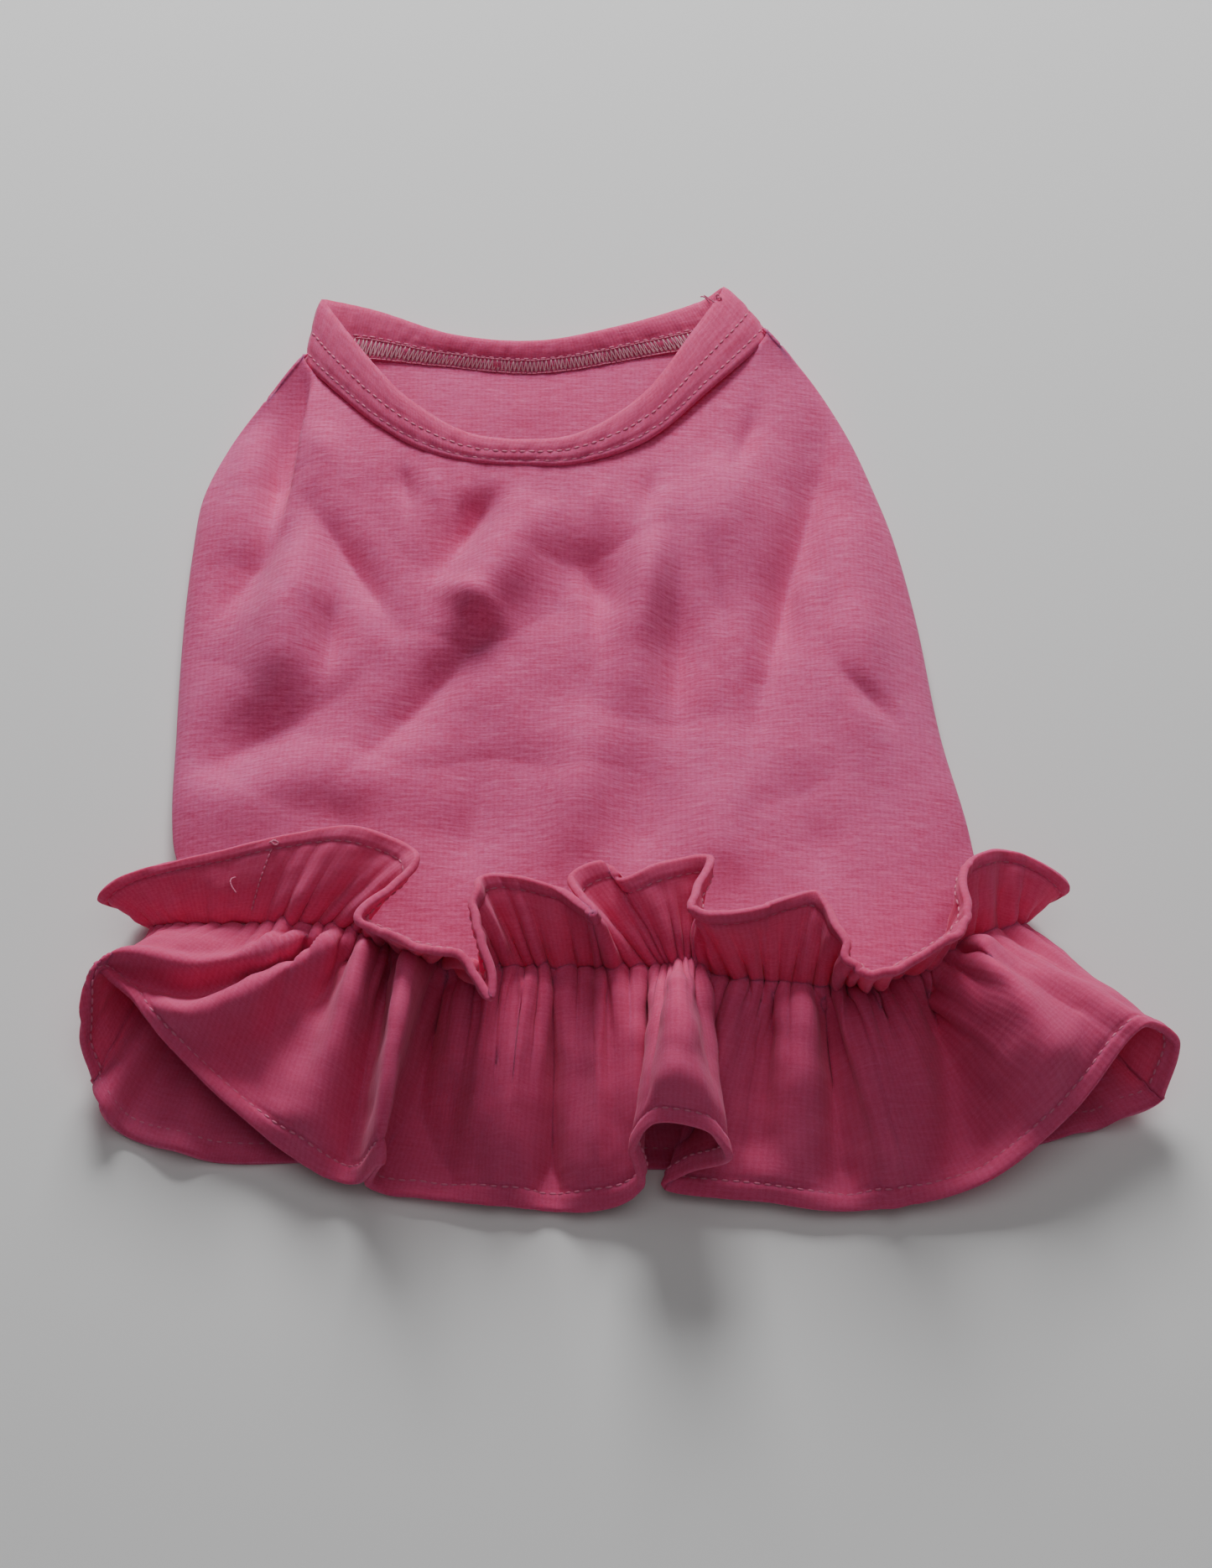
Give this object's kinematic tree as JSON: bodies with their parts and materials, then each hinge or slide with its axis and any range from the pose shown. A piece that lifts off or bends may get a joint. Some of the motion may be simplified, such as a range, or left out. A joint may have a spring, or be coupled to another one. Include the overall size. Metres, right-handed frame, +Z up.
{
  "type": "dog dress",
  "caption": "Small dog's jersey dress lying flat: tube body with scooped banded neckline, leg openings below and a gathered ruffle with a standing header.",
  "frame": {"origin": "middle of the dress's bounding box, on the surface that it lies on", "axes": "+Z up out of the surface, through the two layers of the body; +Y towards the neck; -Y towards the ruffle's hem; +X to the right as the dress is seen from the hem"},
  "size_m": [0.268, 0.2616, 0.0452],
  "materials": {
    "body_jersey": "pink cotton jersey, matt, with fine knitted wales and a light heather",
    "band_jersey": "pink cotton jersey folded double, matt, with twin-needle stitching",
    "ruffle_jersey": "pink cotton jersey, matt, gathered, with a stitched rolled hem"
  },
  "bodies": {
    "root": {"top_panel": "body_jersey", "belly_panel": "body_jersey", "neckband": "band_jersey", "leg_binding_left": "band_jersey", "leg_binding_right": "band_jersey", "ruffle_upper": "ruffle_jersey", "ruffle_under": "ruffle_jersey"}
  },
  "joints": []
}
